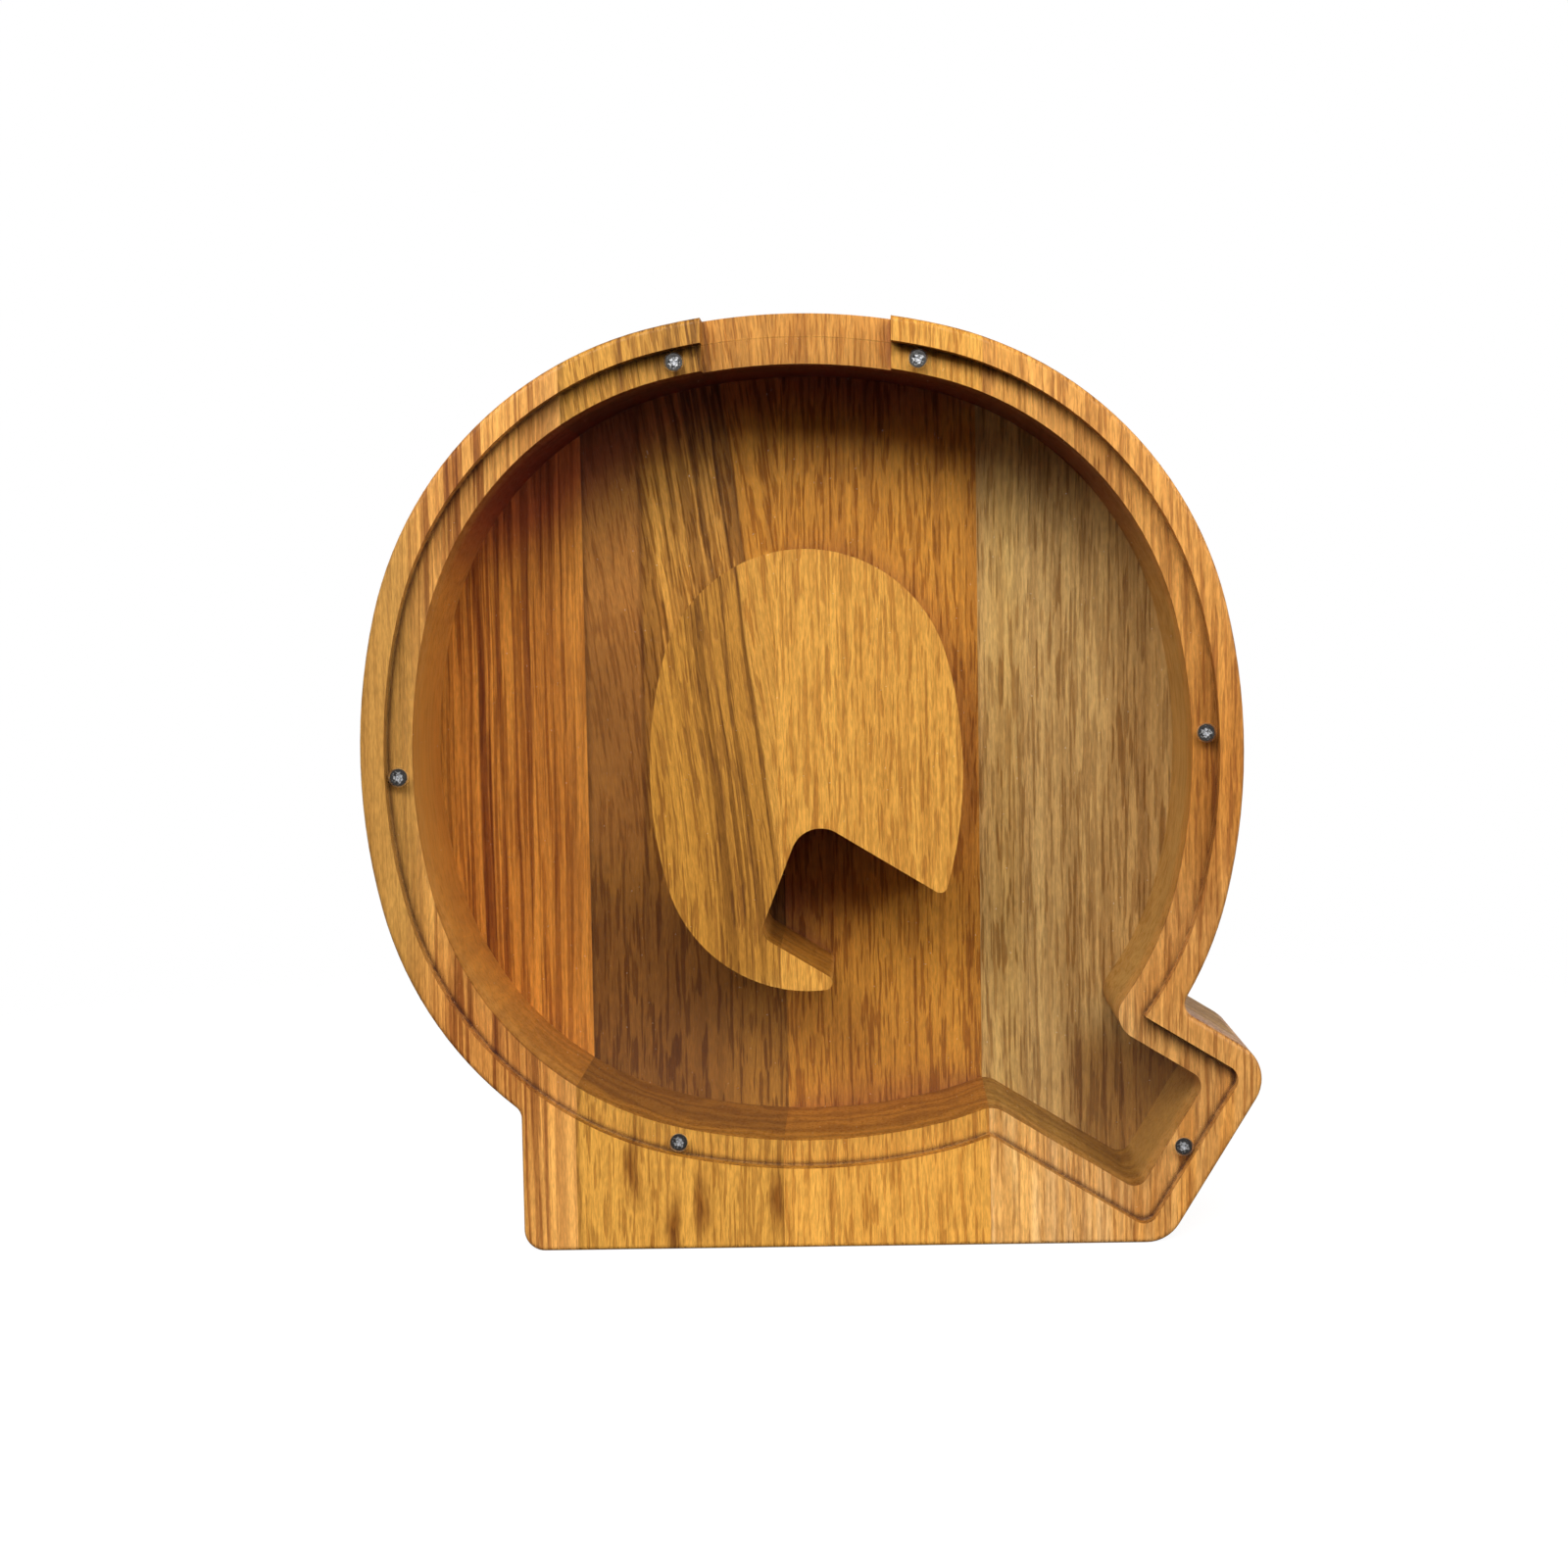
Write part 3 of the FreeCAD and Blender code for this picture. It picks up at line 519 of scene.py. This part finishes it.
def steel():
    """Darkened screw steel with tarnish and fine scratches, painted shade round the head's edge and a
    painted highlight in its middle.
    """
    material, graph = new_material("screw_steel")
    x, y, z = place = graph.place()
    tarnish = graph.noise(place, TARNISH_SIZE, detail=4, roughness=0.6)
    mottle = graph.noise(place, MOTTLE_SIZE)
    scratches = graph.noise(place, SCRATCH_SIZE)
    radius = graph.math("SQRT", x * x + z * z) + (mottle - 0.5) * 3.2
    # Painted shade round the head's edge.
    rim_shade = radius.span(0.9, 1.15) * y.span(0.9, 0.5)
    # Painted highlight in the middle of the head.
    middle_highlight = radius.span(0.85, 0.55) * y.span(0.95, 0.85)
    colour = graph.blend(tarnish.span(0.35, 0.65), STEEL_DULL, STEEL_CLEAN)
    colour = graph.blend(rim_shade * 0.9, colour, STEEL_RIM_SHADE)
    colour = graph.blend(middle_highlight, colour, STEEL_HIGHLIGHT)
    shader = graph.add("BsdfPrincipled", {
        "Base Color": colour,
        "Metallic": 0.8,
        "Roughness": tarnish.span(0.3, 0.7, 0.50, 0.34),
        "Normal": graph.bump(scratches, 0.01 * MM),
    })
    graph.out(shader.outputs[0])
    return material


def link(name, data):
    item = bpy.data.objects.new(name, data)
    bpy.context.scene.collection.objects.link(item)
    return item


# A screw's details in millimetres: its head and length come from the part itself. The thread's ridge
# takes up twice its reach of the pitch.
HEAD_EDGE = 0.06
SHANK_RADIUS = 1.0
THREAD_DEPTH = 0.26
THREAD_PITCH = 0.8
THREAD_REACH = 0.3
THREAD_START = 1.9
TIP_LENGTH = 2.4
CROSS_LENGTH = 1.15
CROSS_WIDTH = 0.28
CROSS_DEPTH = 0.75
CROSS_TAPER = 0.45
SCREW_SEGMENTS = 32
SCREW_STEP = THREAD_PITCH / 10
SHARP_ANGLE = 35
TURN_BETWEEN_SCREWS = 25


def thread_radius(depth, turn, length):
    """Radius of the threaded shank at a depth and a turn about the axis."""
    phase = (depth / THREAD_PITCH - turn) % 1.0
    ridge = max(0.0, 1.0 - abs(phase - 0.5) / THREAD_REACH)
    start = min(1.0, max(0.0, (depth - THREAD_START) / THREAD_PITCH))
    radius = SHANK_RADIUS - THREAD_DEPTH * (1.0 - ridge) * start
    return radius * min(1.0, (length - depth) / TIP_LENGTH)


def screw_profile(head, length):
    """Depths along a screw's axis, each with the radii of the points about it."""
    turns = [step / SCREW_SEGMENTS for step in range(SCREW_SEGMENTS)]
    edges = [(0.0, head - 2 * HEAD_EDGE), (HEAD_EDGE, head - HEAD_EDGE)]
    shank = [(head - SHANK_RADIUS, SHANK_RADIUS), (THREAD_START, SHANK_RADIUS)]
    for depth, radius in edges + shank:
        yield depth, [radius] * SCREW_SEGMENTS
    for step in range(1, int((length - THREAD_START) / SCREW_STEP)):
        depth = THREAD_START + step * SCREW_STEP
        yield depth, [thread_radius(depth, turn, length) for turn in turns]


def ring(mesh, depth, radii):
    """Ring of points about a screw's axis."""
    points = []
    for step, radius in enumerate(radii):
        angle = step / len(radii) * math.tau
        points.append(mesh.verts.new((radius * math.cos(angle), depth, radius * math.sin(angle))))
    return points


def bridge(mesh, first, second):
    """Faces between two loops with the same number of points."""
    for index in range(len(first)):
        after = (index + 1) % len(first)
        mesh.faces.new((first[index], first[after], second[after], second[index]))


def cross_loop(mesh, depth, size):
    """Outline of the cross recess at a depth in the head."""
    long, wide = CROSS_LENGTH * size, CROSS_WIDTH * size
    arm = [(long, -wide), (long, wide), (wide, wide)]
    points = []
    for quarter in range(4):
        turn = Matrix.Rotation(quarter * math.pi / 2, 2)
        for corner in arm:
            x, z = turn @ Vector(corner)
            points.append(mesh.verts.new((x, depth, z)))
    return points


def edges_of(loop):
    return [
        next(edge for edge in first.link_edges if edge.other_vert(first) == second)
        for first, second in zip(loop, loop[1:] + loop[:1])
    ]


def screw_mesh(name, head, length):
    """Countersunk screw along y, its head's face at the origin: cross recess, neck, thread and point."""
    mesh = bmesh.new()
    rings = [ring(mesh, depth, radii) for depth, radii in screw_profile(head, length)]
    for upper, lower in zip(rings, rings[1:]):
        bridge(mesh, upper, lower)
    rim, last = rings[0], rings[-1]
    point = mesh.verts.new((0.0, length, 0.0))
    for first, second in zip(last, last[1:] + last[:1]):
        mesh.faces.new((first, second, point))
    mouth = cross_loop(mesh, 0.0, 1.0)
    floor = cross_loop(mesh, CROSS_DEPTH, CROSS_TAPER)
    bridge(mesh, mouth, floor)
    mesh.faces.new(floor)
    bmesh.ops.triangle_fill(mesh, edges=edges_of(rim) + edges_of(mouth), use_beauty=True)
    bmesh.ops.recalc_face_normals(mesh, faces=mesh.faces)
    bmesh.ops.scale(mesh, vec=(MM, MM, MM), verts=mesh.verts)
    data = bpy.data.meshes.new(name)
    mesh.to_mesh(data)
    mesh.free()
    data.shade_smooth()
    data.set_sharp_from_angle(angle=math.radians(SHARP_ANGLE))
    return data


def add_screw(node, body, turn, material):
    """Detailed screw in the place of a plain one."""
    low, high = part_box(node)
    middle = (low + high) / 2
    data = screw_mesh(f"{node}_detail", (high.x - low.x) / 2 / MM, (high.y - low.y) / MM)
    data.materials.append(material)
    piece = link(f"{node}_detail", data)
    spin = Matrix.Rotation(math.radians(turn), 4, "Y")
    piece.matrix_world = Matrix.Translation((middle.x, low.y, middle.z)) @ spin
    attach(piece, body)
    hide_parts(node)


def straight_rays(graph, rays):
    """1 for rays from the camera, also through clear pieces, before they meet anything else."""
    bounces = graph.math("ADD", rays["Diffuse Depth"], rays["Glossy Depth"])
    clear = graph.math("LESS_THAN", bounces, 0.5) * Field(graph, rays["Is Transmission Ray"])
    return graph.math("MAXIMUM", rays["Is Camera Ray"], clear)


# The floor's width in metres, and how far from its middle it fades away, in millimetres.
FLOOR_SIZE = 1.0
FLOOR_FADE = (180, 440)


def floor_material():
    """White floor that keeps the object's shadow and fades into the white around it."""
    material, graph = new_material("floor")
    rays = graph.add("LightPath").outputs
    mirrored = Field(graph, rays["Is Glossy Ray"])
    seen = graph.math("MAXIMUM", straight_rays(graph, rays), mirrored * 0.05)
    grey = 0.22 - mirrored * 0.18
    matte = graph.add("BsdfDiffuse", {"Color": graph.join(grey, grey, grey)})
    glow = graph.add("Emission", {"Color": (1, 1, 1), "Strength": seen * 0.88})
    both = graph.add("AddShader", {0: matte.outputs[0], 1: glow.outputs[0]})
    x, y = graph.place()[:2]
    fade = graph.math("SQRT", x * x + y * y).span(*FLOOR_FADE)
    graph.out(graph.mix(fade, both.outputs[0], graph.add("BsdfTransparent").outputs[0]))
    return material


def add_floor():
    mesh = bpy.data.meshes.new("floor")
    half = FLOOR_SIZE / 2
    corners = [(-half, -half, 0), (half, -half, 0), (half, half, 0), (-half, half, 0)]
    mesh.from_pydata(corners, [], [range(len(corners))])
    mesh.materials.append(floor_material())
    link("floor", mesh)


def add_world():
    """White to the camera; otherwise a soft room, dark in front of the object and bright behind it."""
    world = bpy.data.worlds.new("studio")
    bpy.context.scene.world = world
    world.use_nodes = True
    graph = Graph(world.node_tree)
    y = graph.split(graph.add("TexCoord").outputs["Generated"])[1]
    rays = graph.add("LightPath").outputs
    room = y.span(-0.2, 1.0, 0.0, 0.9)
    mirrored = y.span(-0.1, 0.6, 0.0, 1.0)
    level = room + (mirrored - room) * Field(graph, rays["Is Glossy Ray"])
    strength = level + (1.0 - level) * straight_rays(graph, rays)
    background = graph.add("Background", {"Color": (1, 1, 1), "Strength": strength})
    graph.out(background.outputs[0], "OutputWorld")


def add_lamp(name, azimuth, elevation, distance, size, power):
    """Soft light aimed at the object's middle; azimuth 0 is in front, positive to the right."""
    low, high = cad_box
    turn, rise = math.radians(azimuth), math.radians(elevation)
    away = Vector((math.sin(turn) * math.cos(rise), -math.cos(turn) * math.cos(rise), math.sin(rise)))
    data = bpy.data.lights.new(name, "AREA")
    data.shape = "RECTANGLE"
    data.size, data.size_y = size
    data.energy = power
    lamp = link(name, data)
    aim = away.to_track_quat("Z", "Y").to_matrix().to_4x4()
    lamp.matrix_world = Matrix.Translation((Vector(low) + Vector(high)) / 2 + away * distance) @ aim


def add_camera():
    data = bpy.data.cameras.new("photo_camera")
    data.sensor_width = CAMERA_SENSOR
    data.lens = CAMERA_LENS
    data.shift_x, data.shift_y = CAMERA_SHIFT
    aim = (CAMERA_AIM - CAMERA_PLACE).to_track_quat("-Z", "Y")
    roll = Quaternion((0, 0, 1), math.radians(-CAMERA_ROLL))
    camera = link("photo_camera", data)
    camera.matrix_world = Matrix.Translation(CAMERA_PLACE) @ (aim @ roll).to_matrix().to_4x4()
    bpy.context.scene.camera = camera


def dress(node, material):
    materials = frame["nodes"][node].data.materials
    materials.clear()
    materials.append(material)


add_camera()
add_world()
add_floor()
add_lamp("key", azimuth=-15, elevation=35, distance=1.4, size=(1.8, 0.5), power=24.5)
add_lamp("fill", azimuth=50, elevation=22, distance=1.4, size=(1.0, 0.45), power=8)

dress("stave_left", left_wood())
dress("stave_mid_left", mid_left_wood())
dress("stave_mid_right", mid_right_wood())
dress("stave_right", right_wood())
dress("front_window", clear_sheet())

screw_steel = steel()
bodies = frame["record"]["behaviour"]["bodies"]
screws = [(body, nodes[0]) for body, nodes in bodies.items() if nodes[0].startswith("screw_")]
for order, (body, node) in enumerate(screws):
    add_screw(node, body, order * TURN_BETWEEN_SCREWS, screw_steel)

bpy.context.scene.view_settings.view_transform = "Standard"
